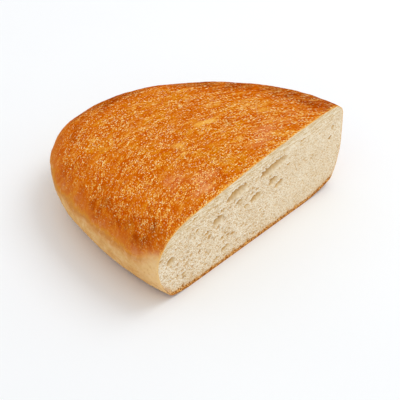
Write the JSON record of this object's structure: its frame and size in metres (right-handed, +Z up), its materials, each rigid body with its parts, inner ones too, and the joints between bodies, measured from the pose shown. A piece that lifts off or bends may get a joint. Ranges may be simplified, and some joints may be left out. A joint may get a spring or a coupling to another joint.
{
  "type": "cut muffuletta loaf",
  "caption": "Large, low, round-backed hearth loaf cut straight across, with a golden-brown blistered crust and a pale, fine-pored crumb on the cut face.",
  "frame": {"origin": "middle of the bounding box's floor, on the surface that the loaf stands on", "axes": "+X along the cut from the low end to the high end, +Y away from the cut face towards the round back, +Z up"},
  "size_m": [0.2232, 0.1876, 0.0776],
  "materials": {
    "bread": "matt to faintly satin baked crust, orange-brown on the crown and pale tan low on the side, with cream open crumb on the cut face"
  },
  "bodies": {
    "root": {"cut_loaf": "bread"}
  },
  "joints": []
}
